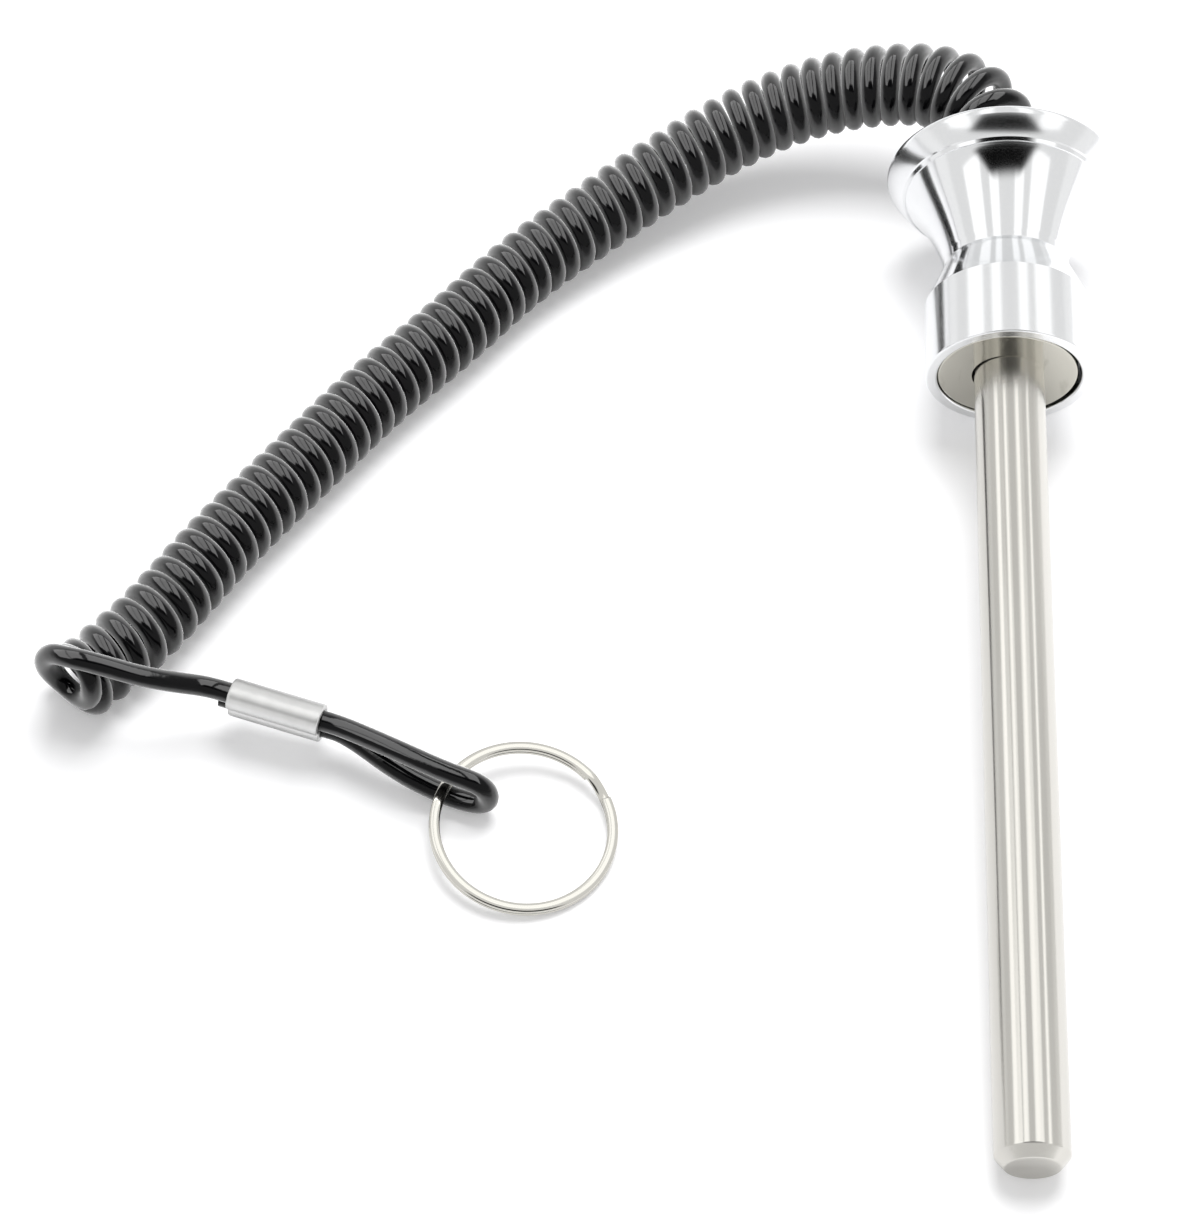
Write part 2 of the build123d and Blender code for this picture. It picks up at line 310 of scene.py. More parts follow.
print("cord:", len(cord_points), "control points,", round(cord_length, 1), "mm long")

# %% [markdown]
# ## Surfaces from profiles
#
# Knob, magnet, shaft and ring are all made by carrying a profile round a circle or along a path.
# Blender's Spin and Screw tools can do that, but with numpy the whole grid of points is one formula,
# and its rows can be placed close together beside each edge, where a reflection bends. The profile
# is a row of corners, and each corner may be rounded by a small arc.

# %% Helper for profiles
BESIDE_AN_EDGE = 0.04
CURVE_STEP = 0.6


def rounded(corners, steps=6, spacing=1.5):
    """Closed profile through corners (x, y, radius). Each corner becomes an arc that leaves its two
    sides at radius / tan(half the corner's angle), and each side gets points close to both its ends.
    Sharp corners less than CURVE_STEP apart are steps of a curve: the sides between them stay plain."""
    corners = np.asarray(corners, float)
    spots = corners[:, :2]
    before = np.roll(spots, 1, 0) - spots
    after = np.roll(spots, -1, 0) - spots
    before /= np.linalg.norm(before, axis=1)[:, None]
    after /= np.linalg.norm(after, axis=1)[:, None]
    rows = []
    ends = []
    for spot, radius, back, on in zip(spots, corners[:, 2], before, after):
        if radius == 0:
            arc = spot[None, :]
        else:
            half = np.arccos(np.clip(back @ on, -1, 1)) / 2
            middle_way = (back + on) / np.linalg.norm(back + on)
            centre = spot + middle_way * radius / np.sin(half)
            start = spot + back * radius / np.tan(half)
            stop = spot + on * radius / np.tan(half)
            swing = np.linspace(0, 1, steps + 1)[:, None] * (pi - 2 * half)
            across = (start - centre) / radius
            onward = stop - centre - across * ((stop - centre) @ across)
            onward /= np.linalg.norm(onward)
            arc = centre + radius * (np.cos(swing) * across + np.sin(swing) * onward)
        rows.append(arc)
        ends.append((arc[0], arc[-1]))
    profile = []
    between_sharp = (corners[:, 2] == 0) & (np.roll(corners[:, 2], -1) == 0)
    for row, (_, start), (stop, _), both_sharp in zip(rows, ends, ends[1:] + ends[:1], between_sharp):
        profile.append(row)
        length = np.linalg.norm(stop - start)
        if both_sharp and length < CURVE_STEP:
            continue
        near = min(BESIDE_AN_EDGE, length / 4)
        count = max(2, int(length / spacing))
        shares = np.linspace(near / length, 1 - near / length, count + 1)
        profile.append(start + (stop - start) * shares[:, None])
    return np.concatenate(profile)


def arc_through(start, between, end, steps=24):
    """Points of the circular arc through three points, without its two ends. Its centre is equally
    far from all three, which is two linear equations."""
    a, b, c = (np.asarray(p, float) for p in (start, between, end))
    left = 2 * np.array([b - a, c - a])
    right = np.array([b @ b - a @ a, c @ c - a @ a])
    centre = np.linalg.solve(left, right)
    angles = np.unwrap([np.arctan2(*(p - centre)[::-1]) for p in (a, b, c)])
    swing = np.linspace(angles[0], angles[2], steps + 1)[1:-1]
    return centre + np.linalg.norm(a - centre) * np.stack([np.cos(swing), np.sin(swing)], 1)


square = rounded([(0, 0, 0.2), (1, 0, 0.2), (1, 1, 0.2), (0, 1, 0.2)])
print("a rounded unit square has", len(square), "points")

# %% [markdown]
# A grid of points becomes a mesh when each point is joined to its neighbours. Its UV map follows the
# grid, so that a finish can follow the surface. A turned piece is such a grid: its profile carried
# round the pin's axis. Which way its faces point depends on the way its profile runs, so a last
# helper measures that and turns them outwards.

# %% Helpers for surfaces
def skin(name, grid, wrap_rows=True, wrap_columns=True):
    """Mesh object from a grid of points in mm, rows by columns by 3. Its quads join each point to the
    next in its row and column, and round the ends where the grid wraps. In the UV map U is the column
    over the number of columns, and V the row over the number of rows."""
    rows, columns = grid.shape[:2]
    row = np.arange(rows if wrap_rows else rows - 1)[:, None]
    column = np.arange(columns if wrap_columns else columns - 1)[None, :]
    next_row = (row + 1) % rows
    next_column = (column + 1) % columns
    quads = np.stack([row * columns + column, row * columns + next_column,
                      next_row * columns + next_column, next_row * columns + column], -1).reshape(-1, 4)
    mesh = bpy.data.meshes.new(name)
    mesh.from_pydata((grid.reshape(-1, 3) * MM).tolist(), [], quads.tolist())
    across, along = np.broadcast_arrays(column / columns, row / rows)
    step_u = 1 / columns
    step_v = 1 / rows
    uv = np.stack([
        np.stack([across, along], -1), np.stack([across + step_u, along], -1),
        np.stack([across + step_u, along + step_v], -1), np.stack([across, along + step_v], -1)], -2)
    layer = mesh.uv_layers.new(name="grain")
    layer.data.foreach_set("uv", uv.reshape(-1).astype(np.float32))
    mesh.polygons.foreach_set("use_smooth", np.ones(len(quads), bool))
    mesh.update()
    piece = bpy.data.objects.new(name, mesh)
    scene.collection.objects.link(piece)
    print(name, "has", len(quads), "quads")
    return piece


def turned(name, profile, segments=256, aside=0.0):
    """Solid of revolution from a profile of (radius, distance). A point is the axis at its distance,
    plus its radius times (cosine across + sine above), with the angle going once round. The whole may
    stand a little aside of the axis."""
    around = np.linspace(0, 2 * pi, segments, endpoint=False)
    spokes = np.cos(around)[:, None] * ACROSS + np.sin(around)[:, None] * ABOVE
    radius, distance = profile.T[:, :, None, None]
    return skin(name, COLLAR_FACE + distance * ALONG + radius * spokes + ACROSS * aside)


def outward(piece):
    """Turns the faces of a closed piece outwards when its signed volume, the sum of each triangle's
    corner triple product, is negative."""
    mesh = piece.data
    mesh.calc_loop_triangles()
    corners = np.zeros(len(mesh.loop_triangles) * 3, int)
    mesh.loop_triangles.foreach_get("vertices", corners)
    flat = np.zeros(len(mesh.vertices) * 3)
    mesh.vertices.foreach_get("co", flat)
    a, b, c = (flat.reshape(-1, 3)[corners.reshape(-1, 3)[:, k]] for k in range(3))
    volume = float(np.einsum("ij,ij->i", a, np.cross(b, c)).sum() / 6)
    if volume < 0:
        mesh.flip_normals()
    print(piece.name, "volume", round(abs(volume) / MM ** 3, 1), "mm3")
    return piece


# %% [markdown]
# ## Knob
#
# The knob is one turned aluminium piece: a satin collar that holds the magnet, a cone down to the
# waist, a polished neck that flares like a trumpet's bell, a narrow step and lip, and a bevelled rim
# with a round edge for the fingertips to pull on. Its back has a shallow dish with the cord's hole in
# the middle. A cylinder with loop cuts could be pulled into this shape. Here it is one closed profile,
# so the neck, the rim's face and its edge are true arcs, and the cup and bores are real too.

# %% Knob
CUP_RADIUS = 9.75
CUP_DEPTH = 5.3
COLLAR_RADIUS = 11.3
COLLAR_LENGTH = 11.1
SPIGOT_RADIUS = 4.0
SPIGOT_END = 21.3
POCKET_RADIUS = 3.4
POCKET_END = 28.3
CORD_HOLE_RADIUS = 1.675
CONE_END = (8.5, 17.4)
NECK_START = (8.5, 18.2)
NECK_MIDDLE = (9.85, 23.0)
NECK_END = (13.6, 29.4)
STEP_END = (13.75, 29.4)
LIP = (14.05, 29.85)
FACE_START = (14.25, 30.0)
FACE_DOME = 0.07
EDGE_ROUND = 1.0
EDGE_CIRCLE = 15.12
EDGE_AT = 32.9
EDGE_FROM = 58.0
EDGE_TO = 150.0
RIM_BACK_AT = 34.8
DISH_RADIUS = 11.0


def on_edge(degrees_from_front):
    """Point on the rim's outer round: its centre plus its radius times (sine out, cosine forward)."""
    swing = radians(degrees_from_front)
    return np.array([EDGE_CIRCLE + EDGE_ROUND * sin(swing), EDGE_AT - EDGE_ROUND * cos(swing)])


def sharp(points):
    """Corners without a round at a row of points."""
    return np.column_stack([points, np.zeros(len(points))])


edge = np.array([on_edge(at) for at in np.linspace(EDGE_FROM, EDGE_TO, 25)])
face_end = edge[0]
edge_end = edge[-1]
bevel = face_end - FACE_START
proud = np.array([bevel[1], -bevel[0]]) / np.linalg.norm(bevel) * FACE_DOME
face = arc_through(FACE_START, (face_end + FACE_START) / 2 + proud, face_end, steps=24)
back_slope = tan(radians(EDGE_TO - 90.0))
back_edge = (edge_end[0] - (RIM_BACK_AT - edge_end[1]) * back_slope, RIM_BACK_AT)
neck = arc_through(NECK_START, NECK_MIDDLE, NECK_END, steps=30)
knob_corners = np.concatenate([
    sharp([(CORD_HOLE_RADIUS, POCKET_END), (POCKET_RADIUS, POCKET_END), (POCKET_RADIUS, SPIGOT_END)]),
    sharp([(SPIGOT_RADIUS, SPIGOT_END), (SPIGOT_RADIUS, CUP_DEPTH), (CUP_RADIUS, CUP_DEPTH)]),
    [(CUP_RADIUS, 0, 0.25), (COLLAR_RADIUS, 0, 0.3), (COLLAR_RADIUS, COLLAR_LENGTH, 0.2), (*CONE_END, 0.3)],
    sharp(neck),
    [(*NECK_END, 0.03), (*STEP_END, 0.05), (*LIP, 0.04), (*FACE_START, 0.05)],
    sharp(face),
    sharp(edge),
    [(*back_edge, 0.4), (DISH_RADIUS, BACK_FACE, 0.4), (CORD_HOLE_RADIUS, BACK_FACE, 0.4)],
])
knob = outward(turned("knob_body", rounded(knob_corners)))
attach(knob, "pin")
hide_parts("knob")

# %% [markdown]
# ## Magnet and shaft
#
# The magnet is a nickel-plated ring, glued into the cup a little off centre, so a dark gap shows on
# one side. The shaft is a ground steel rod with a chamfered tip. It is a little thinner where it
# passes the magnet and thinner again inside the knob. A plain cylinder would have knife edges; here
# the edges that show have a small round that catches the light. The shaft's profile stays a tenth of
# a micrometre off the axis, because points on the axis itself would make quads without area.

# %% Magnet
MAGNET_RADIUS = 9.5
MAGNET_BORE = 4.82
MAGNET_SET_BACK = 0.3
MAGNET_ASIDE = -0.2
magnet_corners = [
    (MAGNET_BORE, MAGNET_SET_BACK, 0.08), (MAGNET_RADIUS, MAGNET_SET_BACK, 0.3),
    (MAGNET_RADIUS, CUP_DEPTH, 0), (MAGNET_BORE, CUP_DEPTH, 0),
]
magnet = outward(turned("magnet_ring", rounded(magnet_corners), segments=192, aside=MAGNET_ASIDE))
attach(magnet, "pin")
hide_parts("ring_magnet")

# %% Shaft
SHAFT_RADIUS = 4.75
TIP_AT = -114.0
TIP_CHAMFER = 1.5
TIP_RADIUS = 3.5
RELIEF_FROM = 1.2
RELIEF_RADIUS = 4.5
SPIGOT_CHAMFER = 0.5
NEAR_AXIS = 0.0001
shaft_corners = [
    (NEAR_AXIS, TIP_AT, 0), (TIP_RADIUS, TIP_AT, 0.35), (SHAFT_RADIUS, TIP_AT + TIP_CHAMFER, 0.45),
    (SHAFT_RADIUS, RELIEF_FROM, 0), (RELIEF_RADIUS, RELIEF_FROM, 0), (RELIEF_RADIUS, CUP_DEPTH, 0),
    (SPIGOT_RADIUS, CUP_DEPTH, 0), (SPIGOT_RADIUS, SPIGOT_END - SPIGOT_CHAMFER, 0),
    (SPIGOT_RADIUS - SPIGOT_CHAMFER, SPIGOT_END, 0), (NEAR_AXIS, SPIGOT_END, 0),
]
shaft = outward(turned("shaft_rod", rounded(shaft_corners, steps=8), segments=192))
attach(shaft, "pin")
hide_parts("selector_shaft")

# %% [markdown]
# ## Crimp sleeve
#
# The sleeve is drawn aluminium tube, two barrels side by side in one piece, pressed on the cord.
# Two cylinders joined by a Boolean would do, but would leave a hard crease to clean up. Instead its
# section is the outline of two circles that overlap, carried along a straight line, and a narrower
# outline closes the inside. The inner circles just overlap too, so one formula gives both outlines.

# %% Crimp sleeve
SLEEVE_ROUND = 0.2
BORE_EASE = 0.12
ROWS_FROM_END = 0.5
MOUTH_DEPTH = 0.01
OUTLINE_POINTS = 128
outside_radius = CORD / 2 + BORE_CLEARANCE + SLEEVE_WALL
inside_radius = CORD / 2 + BORE_CLEARANCE + BORE_EASE


def sleeve_loop(distance, radius, shrink):
    """Outline of two overlapping circles at a distance along the sleeve: at each angle, the farther
    of the two circles' edges, seen from the middle between them."""
    around = np.linspace(0, 2 * pi, OUTLINE_POINTS, endpoint=False)
    half = BARREL_SPACING / 2
    size = radius - shrink
    edge = half * np.abs(np.cos(around)) + np.sqrt(size ** 2 - (half * np.sin(around)) ** 2)
    spokes = np.cos(around)[:, None] * sleeve_up + np.sin(around)[:, None] * sleeve_side
    return sleeve_start + sleeve_along * distance + edge[:, None] * spokes


end_round = [(0.0, SLEEVE_ROUND), (0.04, 0.1), (0.1, 0.04), (SLEEVE_ROUND, 0.0)]
straight_rows = [(d, 0.0) for d in np.linspace(ROWS_FROM_END, SLEEVE_LENGTH - ROWS_FROM_END, 9)]
other_round = [(SLEEVE_LENGTH - d, shrink) for d, shrink in end_round[::-1]]
outer_rows = end_round + straight_rows + other_round
outer = np.stack([sleeve_loop(d, outside_radius, shrink) for d, shrink in outer_rows])
inner = np.stack([sleeve_loop(d, inside_radius, 0.0) for d in (SLEEVE_LENGTH - MOUTH_DEPTH, MOUTH_DEPTH)])
sleeve = outward(skin("crimp_sleeve_body", np.concatenate([outer, inner])))
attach(sleeve, "pin")
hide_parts("crimp_sleeve")

# %% [markdown]
# ## Split ring
#
# The ring is one flat nickel-plated wire wound twice round. Its two turns lie together, and where
# the wire steps from the lower level to the upper one it crosses over. The wire's section is a
# superellipse: cosine and sine raised to a power just under one, which makes it a little squarer
# than an ellipse, so that its crowned faces catch light in lines. It is carried along a path that
# goes twice round. The path's level is a smooth step at the crossing. Two plain tori would leave out
# the crossing, and that is what makes a split ring of it.

# %% Split ring
RING_MEAN = 11.5
WIRE_WIDTH = 1.4
WIRE_THICK = 0.63
TURN_GAP = 0.04
SQUARENESS = 0.9
SECTION_POINTS = 40
PATH_POINTS = 721
RISE = radians(7.9)
HEADING = radians(139.0)
CROSSING = radians(20.0)
CROSSING_AT = radians(-114.0)
ring_middle = np.array([-63.4, -26.8, 2.34065])
ring_uphill = np.array([cos(RISE) * cos(HEADING), cos(RISE) * sin(HEADING), sin(RISE)])
ring_normal = np.array([-sin(RISE) * cos(HEADING), -sin(RISE) * sin(HEADING), cos(RISE)])
ring_across = np.cross(ring_normal, ring_uphill)
section_angle = np.linspace(0, 2 * pi, SECTION_POINTS, endpoint=False)


def squarer(wave):
    """A sine or cosine raised to the superellipse's power, with its sign kept."""
    return np.sign(wave) * np.abs(wave) ** SQUARENESS


wire_section = np.stack([
    WIRE_WIDTH / 2 * squarer(np.cos(section_angle)), WIRE_THICK / 2 * squarer(np.sin(section_angle))], 1)
sweep = np.linspace(CROSSING_AT + CROSSING - 2 * pi, CROSSING_AT + 2 * pi, PATH_POINTS)
share = np.clip((sweep - CROSSING_AT) / CROSSING, 0, 1)
climb = share * share * (3 - 2 * share) * 2 - 1
ring_level = climb * (WIRE_THICK + TURN_GAP) / 2
spokes = np.cos(sweep)[:, None] * ring_uphill + np.sin(sweep)[:, None] * ring_across
ring_grid = (ring_middle + spokes[:, None, :] * (RING_MEAN + wire_section[None, :, :1])
             + ring_normal * (ring_level[:, None, None] + wire_section[None, :, 1:]))
wire_ends = np.broadcast_to(ring_grid[[0, -1]].mean(1, keepdims=True), (2, *ring_grid.shape[1:]))
capped = np.concatenate([wire_ends[:1], ring_grid, wire_ends[1:]])
ring = outward(skin("split_ring_wire", capped, wrap_rows=False))
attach(ring, "ring")
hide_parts("split_ring")

# %% [markdown]
# ## What the cord is
#
# The sleeve and the split ring are on the cord and would go with it. The line below prints their names.

# %% What the cord carries
print("the cord carries", sleeve.name, "and", ring.name)

# %% [markdown]
# ## Materials
#
# Metals get their look from what they mirror, so their colour is only a tint, and the finish is all
# in roughness. A turned surface has fine rings round its axis: it smears a reflection along the axis
# and keeps it sharp across. That is anisotropy, and the tangent follows the rings. An image texture
# could hold such marks, but a pattern made by nodes is sharp at any size. First come the helpers:
# `node` adds a node and joins it in one line, and `feed` joins an output to the shader.

# %% Helpers for nodes
def node(kind, *links, **settings):
    """New node in `tree`; `links` join outputs to its first inputs, or set them where they are numbers."""
    made = tree.nodes.new(kind)
    for key, value in settings.items():
        setattr(made, key, value)
    for socket, value in zip(made.inputs, links):
        if isinstance(value, bpy.types.NodeSocket):
            tree.links.new(value, socket)
        elif value is not None:
            socket.default_value = value
    return made


def finish(name, color, metallic, roughness, anisotropic=0.0, specular=0.5):
    """New Principled material; its constants sit on the shader's own sockets."""
    material = bpy.data.materials.new(name)
    material.use_nodes = True
    shader = material.node_tree.nodes["Principled BSDF"]
    shader.inputs["Base Color"].default_value = (*color, 1)
    shader.inputs["Metallic"].default_value = metallic
    shader.inputs["Roughness"].default_value = roughness
    shader.inputs["Anisotropic"].default_value = anisotropic
    shader.inputs["Specular IOR Level"].default_value = specular
    material.diffuse_color = (*color, 1)
    return material, material.node_tree, shader


def dress(piece, material):
    """Gives a piece its one material."""
    piece.data.materials.clear()
    piece.data.materials.append(material)
    print(piece.name, "wears", material.name)


def feed(socket, output):
    """Joins an output to a socket of the current shader."""
    tree.links.new(output, shader.inputs[socket])


def add_tangent():
    """Tangent along the piece's own U direction, which runs round a turned part. A quarter turn of
    the anisotropy then smears reflections across the turned lines."""
    tangent = node("ShaderNodeTangent", direction_type="UV_MAP", uv_map="grain")
    feed("Tangent", tangent.outputs[0])
    shader.inputs["Anisotropic Rotation"].default_value = 0.25


def maths(operation, *values):
    """Output of a Math node."""
    return node("ShaderNodeMath", *values, operation=operation).outputs[0]


def blend(value, low, high):
    """Output that goes from `low` to `high` as a value goes from 0 to 1: the value times their
    difference, plus `low`."""
    return maths("MULTIPLY_ADD", value, high - low, low)


def ranged(value, low, high, to_low, to_high):
    """Value rescaled smoothly from one range to another, and held at its ends."""
    made = node("ShaderNodeMapRange", value, low, high, to_low, to_high, interpolation_type="SMOOTHSTEP")
    return made.outputs["Result"]


def placed_from(spot):
    """The surface's place as seen from a spot given in mm: object coordinates less the spot."""
    here = node("ShaderNodeTexCoord").outputs["Object"]
    return node("ShaderNodeVectorMath", here, tuple(spot * MM), operation="SUBTRACT").outputs[0]


def distance_in(place, direction):
    """How far a place lies in a direction: their dot product, in metres."""
    return node("ShaderNodeVectorMath", place, tuple(direction), operation="DOT_PRODUCT").outputs["Value"]


def about_axis(place):
    """Distance along the pin's axis and distance from it. The second is the length of what is left of
    the place when its share along the axis is taken away."""
    along = distance_in(place, ALONG)
    foot = node("ShaderNodeVectorMath", tuple(ALONG), operation="SCALE")
    tree.links.new(along, foot.inputs["Scale"])
    spoke = node("ShaderNodeVectorMath", place, foot.outputs[0], operation="SUBTRACT").outputs[0]
    return along, node("ShaderNodeVectorMath", spoke, operation="LENGTH").outputs["Value"]


print("nodes can be added and joined")

# %% [markdown]
# Three patterns do for every finish here. Noise gives lumps, and squeezed along one axis it gives
# streaks. Noise that reads a single distance gives rings. Any of them can raise a bump, dull a patch
# or shift a colour.

# %% Helpers for patterns
def noise(place, scale, stretch=(1, 1, 1), detail=3.0):
    """Noise from 0 to 1 with `scale` lumps to a metre, squeezed along each axis by `stretch`."""
    squeezed = node("ShaderNodeVectorMath", place, stretch, operation="MULTIPLY").outputs[0]
    return node("ShaderNodeTexNoise", squeezed, None, scale, detail).outputs[0]


def rings(distance, scale):
    """Fine rings round the axis: noise that changes only with a distance."""
    return node("ShaderNodeTexNoise", None, distance, scale, 2.0, noise_dimensions="1D").outputs[0]


def bump(height, strength, depth):
    """Bump on the current shader; `depth` is in metres."""
    made = node("ShaderNodeBump")
    made.inputs["Strength"].default_value = strength
    made.inputs["Distance"].default_value = depth
    tree.links.new(height, made.inputs["Height"])
    feed("Normal", made.outputs[0])


def tint(value, dark, light):
    """Base colour that blends from `dark` to `light`."""
    mixed = node("ShaderNodeMix", data_type="RGBA")
    tree.links.new(value, mixed.inputs[0])
    mixed.inputs[6].default_value = (*dark, 1)
    mixed.inputs[7].default_value = (*light, 1)
    feed("Base Color", mixed.outputs[2])


print("patterns are ready")

# %% [markdown]
# The knob has two finishes. The collar is satin: fine turned lines, a soft mottling, and a smeared
# reflection. From the cone on, the neck and the rim are polished, with only the faintest haze and
# hairlines left.

# %% Knob's finish
aluminium, tree, shader = finish(
    "turned aluminium", (0.90, 0.905, 0.91), metallic=1.0, roughness=0.2, anisotropic=0.6)
add_tangent()
place = placed_from(COLLAR_FACE)
along, from_axis = about_axis(place)
satin = ranged(along, (COLLAR_LENGTH - 0.2) * MM, (COLLAR_LENGTH + 0.05) * MM, 1.0, 0.0)
on_rim = ranged(along, (FACE_START[1] - 0.1) * MM, (FACE_START[1] + 0.3) * MM, 0.07, 0.115)
lines = rings(maths("ADD", along, from_axis), scale=9000.0)
mottle = noise(place, scale=2600.0)
haze = noise(place, scale=160.0)
satin_rough = blend(mottle, 0.13, 0.25)
polish_rough = maths("MULTIPLY_ADD", haze, 0.07, on_rim)
difference = maths("SUBTRACT", satin_rough, polish_rough)
feed("Roughness", maths("MULTIPLY_ADD", difference, satin, polish_rough))
feed("Anisotropic", maths("MULTIPLY", satin, 0.6))
line_depth = blend(satin, 0.1, 1.0)
bump(maths("MULTIPLY", lines, line_depth), strength=0.14, depth=0.000008)
tint(mottle, (0.86, 0.87, 0.88), (0.92, 0.925, 0.93))
dress(knob, aluminium)

# %% [markdown]
# Nickel is warmer than aluminium. The magnet's plating has a faint orange-peel and small scuffs where
# it meets the weights. The shaft is centreless ground: its lines run round it and smear each lamp
# into a long bar, and handling has left a few dull streaks along it.

# %% Magnet and shaft finishes
nickel, tree, shader = finish("nickel plate", (0.53, 0.515, 0.46), metallic=1.0, roughness=0.12)
place = placed_from(COLLAR_FACE)
peel = noise(place, scale=1400.0)
scuffs = ranged(noise(place, scale=700.0, stretch=(1.0, 1.0, 0.25), detail=5.0), 0.56, 0.72, 0.0, 1.0)
feed("Roughness", blend(scuffs, 0.08, 0.24))
bump(peel, strength=0.12, depth=0.00002)
tint(scuffs, (0.54, 0.525, 0.47), (0.48, 0.465, 0.41))
dress(magnet, nickel)

steel, tree, shader = finish(
    "ground stainless steel", (0.70, 0.68, 0.64), metallic=1.0, roughness=0.2, anisotropic=0.9)
add_tangent()
place = placed_from(COLLAR_FACE)
along, from_axis = about_axis(place)
lines = rings(maths("ADD", along, from_axis), scale=14000.0)
wear = noise(place, scale=300.0, stretch=(1.0, 0.06, 1.0), detail=4.0)
feed("Roughness", blend(wear, 0.12, 0.28))
bump(lines, strength=0.25, depth=0.000006)
tint(wear, (0.59, 0.575, 0.535), (0.69, 0.675, 0.635))
dress(shaft, steel)

# %% [markdown]
# The sleeve is drawn, so its lines run along it, and pressing has dulled it. The stop that keeps the
# cord in the knob is such a sleeve too. It is hidden, so it keeps its CAD mesh. The ring's wire is
# rolled and plated: bright, with hairlines that follow it.

# %% Sleeve and ring finishes
crimp, tree, shader = finish("drawn aluminium", (0.78, 0.78, 0.77), metallic=0.85, roughness=0.34)
place = placed_from(sleeve_start)
run = maths("MULTIPLY", distance_in(place, sleeve_along), 0.05)
high = distance_in(place, sleeve_up)
aside = distance_in(place, sleeve_side)
streaks = noise(node("ShaderNodeCombineXYZ", run, high, aside).outputs[0], scale=9000.0)
dents = noise(place, scale=420.0)
feed("Roughness", blend(streaks, 0.3, 0.46))
bump(maths("MULTIPLY_ADD", streaks, 0.25, dents), strength=0.3, depth=0.00006)
tint(dents, (0.68, 0.68, 0.67), (0.86, 0.86, 0.85))
dress(sleeve, crimp)
dress(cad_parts["cord_stop"], crimp)

wire, tree, shader = finish("nickel wire", (0.74, 0.72, 0.65), metallic=1.0, roughness=0.1)
along_wire = node("ShaderNodeUVMap", uv_map="grain").outputs[0]
hairlines = noise(along_wire, scale=90.0, stretch=(1.0, 0.1, 1.0))
feed("Roughness", blend(hairlines, 0.05, 0.15))
bump(hairlines, strength=0.15, depth=0.00002)
tint(hairlines, (0.68, 0.665, 0.61), (0.80, 0.785, 0.73))
dress(ring, wire)

# %% [markdown]
# The cord's coating is smooth black plastic. It mirrors little, so only the lamps and the bench show
# in it, and its skin has the fine ripple and the slight dullness of extruded plastic. Seen edge on,
# plastic scatters more light. Layer Weight's facing value makes a grey sheen rise towards the edges.

# %% Cord's finish
black, tree, shader = finish(
    "black cord coating", (0.0005, 0.0005, 0.0006), metallic=0.0, roughness=0.1, specular=0.16)
here = node("ShaderNodeTexCoord").outputs["Object"]
ripple = noise(here, scale=500.0)
dull = noise(here, scale=150.0)
feed("Roughness", blend(dull, 0.05, 0.11))
bump(ripple, strength=0.2, depth=0.00012)
edge_on = node("ShaderNodeLayerWeight", 0.5).outputs["Facing"]
uneven = maths("MULTIPLY_ADD", noise(here, scale=900.0), 0.12, edge_on)
feed("Sheen Weight", ranged(uneven, 0.22, 0.4, 0.0, 0.27))
shader.inputs["Sheen Roughness"].default_value = 0.5
dress(cord, black)

# %% [markdown]
# ## Bench, sky and lamps
#
# The bench is pale paper. More light would turn it white, but would wash out the metal as well. So it
# glows a little instead, and only for the camera and for mirrors: it comes out white, and it keeps the
# shadows. Mirrors see that glow only on the right, which leaves the metal's left sides a shade darker.

# %% Bench
BENCH_REACH = 3.0
BENCH_GLOW = 0.25
GLOW_FROM = -0.04
GLOW_FULL = 0.03


def plate(name, corners, height):
    """Flat mesh object through (x, y) corners at one height, all in metres."""
    mesh = bpy.data.meshes.new(name)
    mesh.from_pydata([(x, y, height) for x, y in corners], [], [list(range(len(corners)))])
    piece = bpy.data.objects.new(name, mesh)
    scene.collection.objects.link(piece)
    return piece


bench_corners = [
    (-BENCH_REACH, -BENCH_REACH), (BENCH_REACH, -BENCH_REACH),
    (BENCH_REACH, BENCH_REACH), (-BENCH_REACH, BENCH_REACH),
]
bench = plate("bench", bench_corners, 0.0)
paper, tree, shader = finish("white bench", (0.86, 0.86, 0.87), metallic=0.0, roughness=0.9, specular=0.0)
rays = node("ShaderNodeLightPath")
across_bench = node("ShaderNodeSeparateXYZ", node("ShaderNodeTexCoord").outputs["Object"]).outputs["X"]
on_right = ranged(across_bench, GLOW_FROM, GLOW_FULL, 0.0, BENCH_GLOW)
mirrored = maths("MULTIPLY", rays.outputs["Is Glossy Ray"], on_right)
shader.inputs["Emission Color"].default_value = (1, 1, 1, 1)
feed("Emission Strength", maths("MULTIPLY_ADD", rays.outputs["Is Camera Ray"], BENCH_GLOW, mirrored))
dress(bench, paper)

# %% [markdown]
# A world that is plain white would leave the metal flat, because a mirror needs something to show.
# Mirror rays see the walls of a light tent instead. The tent is a pale grey, and its wall is lighter
# close to the bench, where the angle about the Y axis, the arc tangent of X over Z, nears 90 degrees.
# The camera sees plain white, and everything else gets an even, weaker fill.

